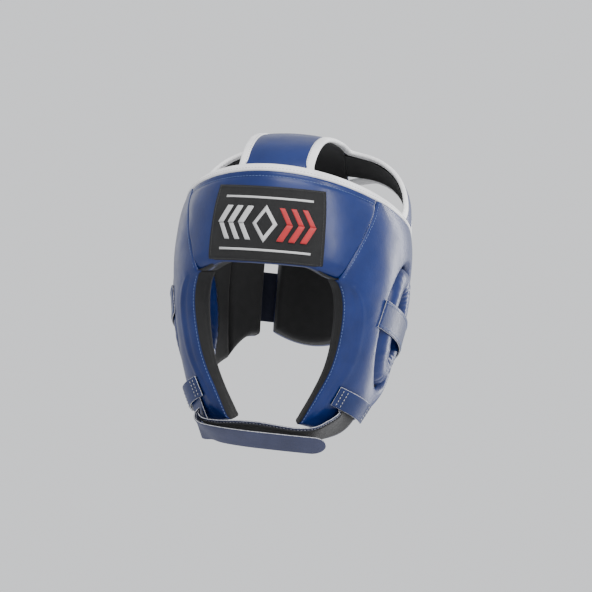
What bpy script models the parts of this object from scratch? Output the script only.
"""Open-face boxing headgear, sewn from padded panels around one head-shaped surface.

Frame: the face looks along -Y, +Z is up, the wearer's left is +X. The origin is the centre of
the head, level with the middle of the forehead pad. A place on the pads is an angle round the
head (0 at the front, 90 at the wearer's left ear, 180 at the nape), a height, and a depth below
the outer leather.
"""
import math

import bmesh
import bpy
from mathutils import Matrix, Vector

# Outer leather: height, half width, front half depth, rear half depth.
PROFILE = (
    (0.070, 0.076, 0.098, 0.086),
    (0.050, 0.088, 0.110, 0.101),
    (0.022, 0.098, 0.117, 0.112),
    (0.000, 0.1015, 0.120, 0.117),
    (-0.030, 0.103, 0.1205, 0.119),
    (-0.065, 0.101, 0.114, 0.117),
    (-0.100, 0.0945, 0.099, 0.110),
    (-0.130, 0.0855, 0.084, 0.100),
    (-0.155, 0.0750, 0.0725, 0.088),
    (-0.175, 0.0640, 0.0640, 0.078),
)

# Layers of every pad, as depths below the outer face.
LEATHER = (0.0, 0.0014)
FOAM = (0.0019, 0.0188)
LINING = (0.0197, 0.0211)
JAW_FOAM_SHARE = 0.75          # pad thickness left at the jaw
SEAM_GAP = 0.0004              # half of the gap between sewn neighbours

# Pad outlines.
RIM_MIDDLE = 0.022             # the top rim is a plane, higher at the front
RIM_SWING = 0.029
BROW_HEIGHT = -0.034           # top of the face opening
SEAM_TOP = 62.0                # forehead seam at the rim
SEAM_FOOT = 38.0               # forehead seam at the face opening
SEAM_FOOT_HEIGHT = -0.042
REAR_SEAM = 124.0              # side panel to rear wing
WING_END = 147.0
NAPE_SIDE = 157.0
NAPE_TOP = 0.007
NAPE_FOOT = -0.088

# Ear opening: centre, then half sizes of the recess, the padded ring and its roll.
EAR_ANGLE = 92.0
EAR_HEIGHT = -0.071
RING_HALF = (0.0270, 0.0400)
ROLL_RADIUS = 0.0115
ROLL_COVER = 0.0012
ROLL_DEPTH = 0.0128
RECESS_MARGIN = 0.0042

# Crown harness: a dome of half width, half depth and height over its base.
DOME_HALF = (0.0965, 0.1095, 0.079)
DOME_BASE = 0.010
DOME_POWER = 2.7
CROWN_LEATHER = 0.0016
CROWN_LINING = 0.0016
FRONT_STRAP_HALF = 0.0275
REAR_STRAP_HALF = 0.0225
BINDING_RADIUS = 0.0022
PIPING_RADIUS = 0.0015
PIPING_DEPTH = 0.0005
LOOP_DEPTH = 0.0058
BINDING_DROP = -0.0010          # middle of the binding below the crown leather

# Straps.
STRAP_THICKNESS = 0.0018
TAPE_THICKNESS = 0.0012
CHIN_STRAP_WIDTH = 0.024
CHIN_TAPE_WIDTH = 0.018
REAR_STRAP_WIDTH = 0.044
REAR_STRAP_HEIGHT = -0.046
REAR_STRAP_LIFT = (0.0052, 0.0022)   # off the pads at its free end and at its root
PATCH_ANGLE = 29.3
PATCH_HEIGHTS = (-0.0315, 0.0335)

# Points on the joints' axes.
CHIN_HINGE = (-0.0610, -0.0420, -0.1690)     # sewn root of the chin strap that peels off
CLOSURE_HINGE = (-0.0744, 0.0828, -0.0460)   # sewn root of the strap across the nape
NAPE_HINGE = (0.0, 0.110, 0.009)             # where the nape pad is sewn to the crown strap

COLOURS = {
    "blue_leather": ((0.024, 0.066, 0.220), 0.36),
    "strap_leather": ((0.075, 0.090, 0.205), 0.45),
    "foam": ((0.62, 0.60, 0.52), 0.95),
    "black_lining": ((0.022, 0.021, 0.022), 0.85),
    "white_binding": ((0.80, 0.78, 0.76), 0.40),
    "woven_patch": ((0.018, 0.018, 0.019), 0.80),
    "loop_tape": ((0.020, 0.020, 0.022), 0.95),
    "hook_tape": ((0.016, 0.016, 0.018), 0.70),
}


def clear_scene():
    for item in list(bpy.data.objects):
        bpy.data.objects.remove(item, do_unlink=True)


def make_materials():
    made = {}
    for name, (colour, roughness) in COLOURS.items():
        material = bpy.data.materials.new(name)
        material.use_nodes = True
        shader = material.node_tree.nodes["Principled BSDF"]
        shader.inputs["Base Color"].default_value = (*colour, 1.0)
        shader.inputs["Roughness"].default_value = roughness
        shader.inputs["Metallic"].default_value = 0.0
        material.diffuse_color = (*colour, 1.0)
        made[name] = material
    return made


# ---------------------------------------------------------------- surfaces

def hermite(table, x):
    """Smooth interpolation of rows (x, values...) sorted by falling x."""
    rows = table
    last = len(rows) - 1
    x = min(max(x, rows[last][0]), rows[0][0])
    i = 0
    while i < last - 1 and x < rows[i + 1][0]:
        i += 1
    a, b = rows[i], rows[i + 1]
    span = b[0] - a[0]
    t = (x - a[0]) / span
    before = rows[max(i - 1, 0)]
    after = rows[min(i + 2, last)]
    values = []
    for k in range(1, len(a)):
        slope_a = (b[k] - before[k]) / (b[0] - before[0])
        slope_b = (after[k] - a[k]) / (after[0] - a[0])
        values.append((2 * t ** 3 - 3 * t ** 2 + 1) * a[k]
                      + (t ** 3 - 2 * t ** 2 + t) * span * slope_a
                      + (3 * t ** 2 - 2 * t ** 3) * b[k]
                      + (t ** 3 - t ** 2) * span * slope_b)
    return values


def shell(angle, height):
    """Point of the outer leather at an angle (degrees) and a height."""
    wide, front, rear = hermite(PROFILE, height)
    turn = math.radians(angle)
    deep = front if math.cos(turn) >= 0 else rear
    return Vector((wide * math.sin(turn), -deep * math.cos(turn), height))


def shell_normal(angle, height):
    step = 0.5
    rise = 0.0015
    along = shell(angle + step, height) - shell(angle - step, height)
    up = shell(angle, height + rise) - shell(angle, height - rise)
    return along.cross(up).normalized()


def on_pad(angle, height, depth):
    """Point at a depth below the outer leather; a negative depth lies outside."""
    return shell(angle, height) - shell_normal(angle, height) * depth


def pad_share(height):
    """Pads thin out towards the jaw."""
    t = min(max((-0.060 - height) / 0.090, 0.0), 1.0)
    return 1.0 - (1.0 - JAW_FOAM_SHARE) * t * t * (3 - 2 * t)


def rim_height(angle):
    return RIM_MIDDLE + RIM_SWING * math.cos(math.radians(angle))


def degrees_for(angle, height, length):
    """Turn round the head that spans a length on the outer leather."""
    step = shell(angle + 0.5, height) - shell(angle - 0.5, height)
    return length / step.length


def mix(a, b, t):
    return a + (b - a) * t


def face_edge(height):
    """Angle of the face opening's side edge."""
    table = ((-0.042, 37.0), (-0.052, 40.5), (-0.070, 42.5), (-0.100, 42.0), (-0.122, 39.6),
             (-0.145, 34.0), (-0.162, 28.8), (-0.172, 26.0))
    return hermite(table, height)[0]


# ---------------------------------------------------------------- mesh helpers

def add_object(name, mesh, material):
    item = bpy.data.objects.new(name, mesh)
    item.data.materials.append(material)
    PARTS.objects.link(item)
    return item


def cell(shape, rows, i, k, j):
    """One cell of a grid as two triangles, so that nested layers fold along the same lines."""
    shape.faces.new((rows[j][i], rows[j][k], rows[j + 1][k]))
    shape.faces.new((rows[j][i], rows[j + 1][k], rows[j + 1][i]))


def grid_mesh(name, point, across, up, closed=False):
    """Open surface of point(u, v) for u and v from 0 to 1, facing away from the head."""
    mesh = bpy.data.meshes.new(name)
    shape = bmesh.new()
    columns = across if closed else across + 1
    rows = [[shape.verts.new(point(i / across, j / up)) for i in range(columns)]
            for j in range(up + 1)]
    for j in range(up):
        for i in range(across):
            cell(shape, rows, i, (i + 1) % columns, j)
    shape.to_mesh(mesh)
    shape.free()
    return mesh


def sheet(name, point, across, up, thickness, material, closed=False):
    """Thin layer: an open surface with Solidify, centred on the surface."""
    item = add_object(name, grid_mesh(name, point, across, up, closed), material)
    solid = item.modifiers.new("thickness", "SOLIDIFY")
    solid.thickness = thickness
    solid.offset = 0.0
    return item


def slab(name, outer, inner, across, up, material, closed=False):
    """Thick layer: a loft between its outer and its inner surface."""
    mesh = bpy.data.meshes.new(name)
    shape = bmesh.new()
    columns = across if closed else across + 1
    layers = []
    for point in (outer, inner):
        layers.append([[shape.verts.new(point(i / across, j / up)) for i in range(columns)]
                       for j in range(up + 1)])
    for rows in layers:
        for j in range(up):
            for i in range(across):
                cell(shape, rows, i, (i + 1) % columns, j)
    rims = [[rows[0] for rows in layers], [rows[up] for rows in layers]]
    if not closed:
        rims.append([[row[0] for row in rows] for rows in layers])
        rims.append([[row[across] for row in rows] for rows in layers])
    for top, bottom in rims:
        count = len(top)
        for i in range(count if closed else count - 1):
            k = (i + 1) % count
            shape.faces.new((top[i], top[k], bottom[k], bottom[i]))
    bmesh.ops.recalc_face_normals(shape, faces=shape.faces)
    shape.to_mesh(mesh)
    shape.free()
    return add_object(name, mesh, material)


def tube(name, points, radius, material, closed):
    """Round cord along points, as a bevelled curve."""
    curve = bpy.data.curves.new(name, "CURVE")
    curve.dimensions = "3D"
    curve.bevel_depth = radius
    curve.bevel_resolution = 2
    curve.use_fill_caps = not closed
    line = curve.splines.new("POLY")
    line.points.add(len(points) - 1)
    for spot, place in zip(line.points, points):
        spot.co = (*place, 1.0)
    line.use_cyclic_u = closed
    return add_object(name, curve, material)


def smooth_path(points, count):
    """Catmull-Rom curve through points, resampled at equal steps."""
    dense = []
    last = len(points) - 1
    for i in range(last):
        p0 = points[max(i - 1, 0)]
        p1, p2 = points[i], points[i + 1]
        p3 = points[min(i + 2, last)]
        for k in range(24):
            t = k / 24
            dense.append(0.5 * (2 * p1 + (p2 - p0) * t + (2 * p0 - 5 * p1 + 4 * p2 - p3) * t * t
                                + (3 * p1 - p0 - 3 * p2 + p3) * t ** 3))
    dense.append(points[last])
    lengths = [0.0]
    for a, b in zip(dense, dense[1:]):
        lengths.append(lengths[-1] + (b - a).length)
    found = []
    i = 0
    for k in range(count + 1):
        goal = lengths[-1] * k / count
        while i < len(dense) - 2 and lengths[i + 1] < goal:
            i += 1
        t = (goal - lengths[i]) / max(lengths[i + 1] - lengths[i], 1e-9)
        found.append(dense[i].lerp(dense[i + 1], min(t, 1.0)))
    return found


def flip_x(point, side):
    return Vector((point.x * side, point.y, point.z))


def mirrored(point, side):
    """The same point function on the wearer's left (1) or right (-1), still facing out."""
    if side > 0:
        return point
    return lambda u, v: flip_x(point(1.0 - u, v), -1)


# ---------------------------------------------------------------- pads

def pad(stem, place, across, up, side=1, closed=False):
    """Leather, foam and lining of one padded panel; place(u, v) gives angle and height."""
    def layer(depth):
        def point(u, v):
            angle, height = place(u, v)
            return on_pad(angle, height, depth * pad_share(height))
        return mirrored(point, side)

    tail = {1: "_left", -1: "_right", 0: ""}[side]
    leather = sum(LEATHER) / 2
    lining = sum(LINING) / 2
    sheet(stem + "_outer" + tail, layer(leather), across, up,
          (LEATHER[1] - LEATHER[0]) * JAW_FOAM_SHARE, MATERIALS["blue_leather"], closed)
    slab(stem + "_foam" + tail, layer(FOAM[0]), layer(FOAM[1]), across, up,
         MATERIALS["foam"], closed)
    sheet(stem + "_lining" + tail, layer(lining), across, up,
          (LINING[1] - LINING[0]) * JAW_FOAM_SHARE, MATERIALS["black_lining"], closed)


def forehead_place(u, v):
    """Forehead panel: brow edge below, rim above, slanted seams at its sides."""
    t = 2 * u - 1
    seam = degrees_for(50, 0, SEAM_GAP)
    foot_angle = t * (SEAM_FOOT - seam)
    foot = mix(BROW_HEIGHT, SEAM_FOOT_HEIGHT, max(0.0, abs(t) - 0.6) / 0.4)
    top_angle = t * (SEAM_TOP - seam)
    top = rim_height(top_angle)
    return mix(foot_angle, top_angle, v), mix(foot, top, v)


def side_outline(t):
    """Closed outline of the side panel, anticlockwise seen from outside, for t from 0 to 1."""
    seam = degrees_for(50, 0, SEAM_GAP)
    rear = REAR_SEAM - seam
    corners = [
        (SEAM_TOP + seam, rim_height(SEAM_TOP)),
        (mix(SEAM_TOP, SEAM_FOOT, 0.5) + seam, mix(rim_height(SEAM_TOP), SEAM_FOOT_HEIGHT, 0.5)),
        (SEAM_FOOT + seam + 0.3, SEAM_FOOT_HEIGHT),
        (face_edge(-0.070), -0.070),
        (face_edge(-0.100), -0.100),
        (face_edge(-0.125), -0.125),
        (face_edge(-0.150), -0.150),
        (face_edge(-0.168), -0.168),
        (48.0, -0.169),
        (68.0, -0.163),
        (88.0, -0.148),
        (106.0, -0.126),
        (rear, -0.110),
        (rear, -0.070),
        (rear, -0.030),
        (rear, rim_height(rear)),
        (108.0, rim_height(108.0)),
        (92.0, rim_height(92.0)),
        (76.0, rim_height(76.0)),
    ]
    count = len(corners)
    place = t * count
    i = int(place) % count
    share = place - int(place)
    a = corners[i]
    b = corners[(i + 1) % count]
    return mix(a[0], b[0], share), mix(a[1], b[1], share)


def ear_oval(t, half_wide, half_tall):
    """Point of an oval round the ear, starting at its upper front, anticlockwise."""
    turn = math.radians(128.0) + 2 * math.pi * t
    height = EAR_HEIGHT + half_tall * math.sin(turn)
    wide = degrees_for(EAR_ANGLE, EAR_HEIGHT, half_wide)
    return EAR_ANGLE + wide * math.cos(turn), height


def side_place(u, v):
    """Side panel as a ring of cloth between its outline (v = 0) and the ear recess (v = 1)."""
    outline = side_outline(u)
    margin = ROLL_RADIUS + RECESS_MARGIN
    hole = ear_oval(u, RING_HALF[0] + margin, RING_HALF[1] + margin)
    return mix(outline[0], hole[0], v), mix(outline[1], hole[1], v)


def wing_place(u, v):
    """Rear wing: from the rear seam to its free end beside the nape pad."""
    seam = degrees_for(50, 0, SEAM_GAP)
    angle = mix(REAR_SEAM + seam, WING_END, u)
    foot = mix(-0.110, -0.084, math.sin(math.pi / 2 * u))
    return angle, mix(foot, rim_height(angle) - 0.006 * u, v)


def nape_place(u, v):
    t = 2 * u - 1
    angle = 180 + t * (180 - NAPE_SIDE)
    bulge = 0.008 * t * t
    return angle, mix(NAPE_FOOT + bulge, NAPE_TOP - bulge, v)


def add_pads():
    pad("forehead", forehead_place, 12, 5, side=0)
    pad("nape", nape_place, 6, 6, side=0)
    for side in (1, -1):
        pad("side", side_place, 38, 3, side=side, closed=True)
        pad("wing", wing_place, 4, 6, side=side)


# ---------------------------------------------------------------- ears

def ring_point(u, v, radius, opening):
    """Section of the ear roll; an opening in degrees leaves a slot on its hidden side."""
    angle, height = ear_oval(u, *RING_HALF)
    centre = on_pad(angle, height, ROLL_DEPTH)
    out = shell_normal(angle, height)
    step = 0.004
    ahead = on_pad(*ear_oval(u + step, *RING_HALF), ROLL_DEPTH)
    behind = on_pad(*ear_oval(u - step, *RING_HALF), ROLL_DEPTH)
    along = (ahead - behind).normalized()
    across = out.cross(along).normalized()
    turn = math.radians(mix(opening / 2, 360 - opening / 2, v))
    return centre - out * radius * math.cos(turn) + across * radius * math.sin(turn)


def add_ears():
    for side, tail in ((1, "_left"), (-1, "_right")):
        cover = sheet("ear_ring_cover" + tail,
                      mirrored(lambda u, v: ring_point(u, v, ROLL_RADIUS - ROLL_COVER / 2, 70.0),
                               side),
                      22, 6, ROLL_COVER, MATERIALS["blue_leather"], closed=True)
        cover.data.flip_normals()
        core_radius = ROLL_RADIUS - ROLL_COVER - 0.0009
        core = [ring_point(i / 22, 0.0, 0.0, 0.0) for i in range(22)]
        tube("ear_ring_foam" + tail, [flip_x(spot, side) for spot in core],
             core_radius, MATERIALS["foam"], closed=True)

        def strip(u, v):
            angle = mix(67.0, 118.0, u)
            height = mix(-0.064, -0.086, u) + mix(-0.0125, 0.0125, v)
            return on_pad(angle, height, -0.0018 - 0.0022 * math.sin(math.pi * u))
        sheet("ear_strap" + tail, mirrored(strip, side), 8, 2,
              STRAP_THICKNESS, MATERIALS["blue_leather"])


# ---------------------------------------------------------------- crown harness

def dome_scale(share):
    """How far the dome has drawn in at a share of its half width or half depth."""
    return (1 - min(abs(share), 0.999) ** DOME_POWER) ** (1 / DOME_POWER)


def bend(value):
    return math.copysign(abs(value) ** (2 / DOME_POWER), value)


def dome_along(turn, x, lift):
    """Dome point on a front-to-back arc: turn 0 is the front foot, 180 the rear foot."""
    half_wide, half_deep, tall = (size + lift for size in DOME_HALF)
    scale = dome_scale(x / half_wide)
    angle = math.radians(turn)
    return Vector((x, -half_deep * scale * bend(math.cos(angle)),
                   DOME_BASE + tall * scale * bend(math.sin(angle))))


def dome_across(turn, y, lift):
    """Dome point on an ear-to-ear arc: turn 0 is the left foot, 90 the top."""
    half_wide, half_deep, tall = (size + lift for size in DOME_HALF)
    scale = dome_scale(y / half_deep)
    angle = math.radians(turn)
    return Vector((half_wide * scale * bend(math.cos(angle)), y,
                   DOME_BASE + tall * scale * bend(math.sin(angle))))


STRAP_FRONT_TURN = 27.5
STRAP_REAR_TURN = 179.0
BAND_FOOT_TURNS = (6.5, 2.2)      # at the band's front and rear edge
BAND_TOP_GAP = 0.0006


def strap_half(turn):
    """Half width of the crown strap, narrower behind the crossing."""
    t = min(max((turn - 105.0) / 25.0, 0.0), 1.0)
    return mix(FRONT_STRAP_HALF, REAR_STRAP_HALF, t * t * (3 - 2 * t))


def strap_point(u, v, lift, inset=0.0):
    turn = mix(STRAP_FRONT_TURN, STRAP_REAR_TURN, v)
    return dome_along(turn, (2 * u - 1) * (strap_half(turn) - inset), lift)


def band_edges(turn):
    """Front and rear edge of the ear-to-ear band at a turn."""
    rise = math.sin(math.radians(turn))
    return 0.007 + 0.045 * rise, 0.047 + 0.040 * rise


def band_top_turn(y):
    """Turn at which the band meets the crown strap's side."""
    low, high = 30.0, 90.0
    for _ in range(30):
        middle = (low + high) / 2
        if dome_across(middle, y, 0.0).x > FRONT_STRAP_HALF + BAND_TOP_GAP:
            low = middle
        else:
            high = middle
    return low


def band_point(u, v, lift):
    """Band from the rim (v = 0) to the crown strap (v = 1); u runs from front to rear."""
    top = band_top_turn(mix(0.052, 0.087, u))
    turn = mix(mix(*BAND_FOOT_TURNS, u), top, v)
    front, rear = band_edges(turn)
    return dome_across(turn, mix(front, rear, u), lift)


def add_crown():
    lining_lift = -(CROWN_LEATHER + CROWN_LINING) / 2 - 0.0004
    sheet("crown_strap_outer", lambda u, v: strap_point(u, v, 0.0), 4, 18,
          CROWN_LEATHER, MATERIALS["blue_leather"])
    sheet("crown_strap_lining", lambda u, v: strap_point(u, v, lining_lift, 0.0004), 4, 18,
          CROWN_LINING, MATERIALS["black_lining"])
    for side, tail in ((1, "_left"), (-1, "_right")):
        sheet("crown_band_outer" + tail, mirrored(lambda u, v: band_point(u, v, 0.0), side),
              4, 9, CROWN_LEATHER, MATERIALS["blue_leather"])
        sheet("crown_band_lining" + tail,
              mirrored(lambda u, v: band_point(u, v, lining_lift), side),
              4, 9, CROWN_LINING, MATERIALS["black_lining"])


def rim_line(angle_from, angle_to, count, depth, rise):
    """Line just above the pads' top rim, at a depth below the outer leather."""
    points = []
    for i in range(count + 1):
        angle = mix(angle_from, angle_to, i / count)
        points.append(on_pad(angle, rim_height(angle), depth) + Vector((0, 0, rise)))
    return points


def soften(points, passes, closed):
    """Round the corners of a line by averaging neighbours; open ends stay put."""
    for _ in range(passes):
        count = len(points)
        fresh = []
        for i, spot in enumerate(points):
            if not closed and i in (0, count - 1):
                fresh.append(spot)
            else:
                fresh.append((points[i - 1] + spot * 2 + points[(i + 1) % count]) / 4)
        points = fresh
    return points


def front_loop(edge):
    """Edge of a front crown opening: along the rim, up the band, down the crown strap."""
    rim = rim_line(22, 92, 14, LOOP_DEPTH, BINDING_RADIUS + 0.0010)
    band = []
    for i in range(10):
        turn = mix(10.0, 62.0, i / 9)
        band.append(dome_across(turn, band_edges(turn)[0] - edge, BINDING_DROP))
    strap = []
    for i in range(12):
        turn = mix(111.0, 33.0, i / 11)
        strap.append(dome_along(turn, strap_half(turn) + edge, BINDING_DROP))
    return rim + band + strap


def rear_line(edge):
    """Edge of a rear crown opening: up the band's rear edge, down the crown strap."""
    band = []
    for i in range(10):
        turn = mix(4.0, 56.0, i / 9)
        band.append(dome_across(turn, band_edges(turn)[1] + edge, BINDING_DROP))
    strap = []
    for i in range(8):
        turn = mix(146.0, 178.0, i / 7)
        strap.append(dome_along(turn, strap_half(turn) + edge, BINDING_DROP))
    return band + strap


def add_bindings():
    edge = BINDING_RADIUS + 0.0010
    white = MATERIALS["white_binding"]
    tube("rim_piping", rim_line(-142, 142, 30, PIPING_DEPTH, PIPING_RADIUS + 0.0008),
         PIPING_RADIUS, white, closed=False)
    for side, tail in ((1, "_left"), (-1, "_right")):
        loop = front_loop(edge)
        path = smooth_path(loop + loop[:1], 36)[:-1]
        tube("crown_binding_front" + tail, [flip_x(spot, side) for spot in soften(path, 2, True)],
             BINDING_RADIUS, white, closed=True)
        path = soften(smooth_path(rear_line(edge), 24), 2, False)
        tube("crown_binding_rear" + tail, [flip_x(spot, side) for spot in path],
             BINDING_RADIUS, white, closed=False)


# ---------------------------------------------------------------- patch, tabs and straps

def add_patch():
    def place(u, v):
        return on_pad(mix(-PATCH_ANGLE, PATCH_ANGLE, u), mix(*PATCH_HEIGHTS, v), -0.0010)
    sheet("front_patch", place, 8, 4, 0.0010, MATERIALS["woven_patch"])


def add_tabs():
    """Keeper tabs on the jaw, under which the chin straps are sewn."""
    def place(u, v):
        angle = mix(mix(45.0, 83.5, u), mix(51.0, 83.0, u), v)
        height = mix(mix(-0.148, -0.161, u), mix(-0.134, -0.145, u), v)
        return on_pad(angle, height, -0.0036)
    for side, tail in ((1, "_left"), (-1, "_right")):
        sheet("chin_tab" + tail, mirrored(place, side), 6, 2,
              STRAP_THICKNESS, MATERIALS["blue_leather"])


# Middle lines of the chin straps, from the root to the free end.
LOOP_STRAP_PATH = (
    (0.0675, -0.0400, -0.1640), (0.0650, -0.0500, -0.1695), (0.0570, -0.0600, -0.1735),
    (0.0400, -0.0670, -0.1760), (0.0180, -0.0700, -0.1765), (-0.0060, -0.0700, -0.1760),
    (-0.0280, -0.0670, -0.1750), (-0.0440, -0.0620, -0.1735),
)
HOOK_STRAP_PATH = (
    CHIN_HINGE, (-0.0590, -0.0540, -0.1745), (-0.0500, -0.0660, -0.1785),
    (-0.0350, -0.0735, -0.1815), (-0.0110, -0.0785, -0.1835), (0.0160, -0.0790, -0.1845),
    (0.0400, -0.0755, -0.1850), (0.0590, -0.0690, -0.1850),
)
STRAP_LEAN = 58.0               # the straps' faces look down and forwards by this angle


def strap_frame(points, i):
    """Direction across a chin strap's width, its front edge up, and its outward normal."""
    ahead = points[min(i + 1, len(points) - 1)]
    behind = points[max(i - 1, 0)]
    along = (ahead - behind).normalized()
    if along.x < 0:
        along = -along
    lean = math.radians(STRAP_LEAN)
    forward = Vector((along.y, -along.x, 0)).normalized()
    across = forward * math.sin(lean) + Vector((0, 0, 1)) * math.cos(lean)
    across = (across - along * across.dot(along)).normalized()
    return across, along.cross(across).normalized()


def ribbon(name, path, width, offset, thickness, material, share=(0.0, 1.0), steps=20):
    """Flat strap along a path, shifted along its outward normal."""
    points = smooth_path([Vector(spot) for spot in path], steps)
    first = round(share[0] * steps)
    last = round(share[1] * steps)

    def point(u, v):
        i = first + round(u * (last - first))
        across, out = strap_frame(points, i)
        return points[i] + across * width * (v - 0.5) + out * offset
    return sheet(name, point, last - first, 2, thickness, material)


def add_chin_straps():
    between = (STRAP_THICKNESS + TAPE_THICKNESS) / 2 + 0.0004
    ribbon("chin_loop_strap", LOOP_STRAP_PATH, CHIN_STRAP_WIDTH, 0.0, STRAP_THICKNESS,
           MATERIALS["strap_leather"])
    ribbon("chin_loop_tape", LOOP_STRAP_PATH, CHIN_TAPE_WIDTH, between, TAPE_THICKNESS,
           MATERIALS["loop_tape"], share=(0.1, 1.0))
    ribbon("chin_hook_strap", HOOK_STRAP_PATH, CHIN_STRAP_WIDTH, 0.0, STRAP_THICKNESS,
           MATERIALS["strap_leather"])
    ribbon("chin_hook_tape", HOOK_STRAP_PATH, CHIN_TAPE_WIDTH, -between, TAPE_THICKNESS,
           MATERIALS["hook_tape"], share=(0.35, 0.95))


def add_rear_closure():
    """Strap across the nape, sewn to the right wing and stuck to a loop patch on the left."""
    def band(angle_from, angle_to, width, depths):
        def point(u, v):
            angle = mix(angle_from, angle_to, u)
            height = REAR_STRAP_HEIGHT + mix(-width / 2, width / 2, v)
            return on_pad(angle, height, -mix(*depths, u))
        return point
    sheet("rear_strap", band(131.5, 226.0, REAR_STRAP_WIDTH, REAR_STRAP_LIFT),
          16, 2, STRAP_THICKNESS, MATERIALS["blue_leather"])
    sheet("rear_strap_hooks", band(133.0, 150.0, REAR_STRAP_WIDTH - 0.010, (0.0027, 0.0025)),
          4, 2, TAPE_THICKNESS, MATERIALS["hook_tape"])
    sheet("rear_loop_patch", band(128.0, 146.0, REAR_STRAP_WIDTH, (0.0010, 0.0010)),
          4, 2, TAPE_THICKNESS, MATERIALS["loop_tape"])


def hang(names, hinge):
    """Parent the pieces that move together to an empty on their joint's axis."""
    pivot = bpy.data.objects.new("pivot_" + names[0], None)
    pivot.location = hinge
    PARTS.objects.link(pivot)
    for name in names:
        item = bpy.data.objects[name]
        item.parent = pivot
        item.matrix_parent_inverse = Matrix.Translation(hinge).inverted()


clear_scene()
PARTS = bpy.data.collections.new("boxing_headgear")
bpy.context.scene.collection.children.link(PARTS)
MATERIALS = make_materials()
add_pads()
add_ears()
add_crown()
add_bindings()
add_patch()
add_tabs()
add_chin_straps()
add_rear_closure()
hang(("chin_hook_strap", "chin_hook_tape"), CHIN_HINGE)
hang(("rear_strap", "rear_strap_hooks"), CLOSURE_HINGE)
hang(("nape_outer", "nape_foam", "nape_lining"), NAPE_HINGE)
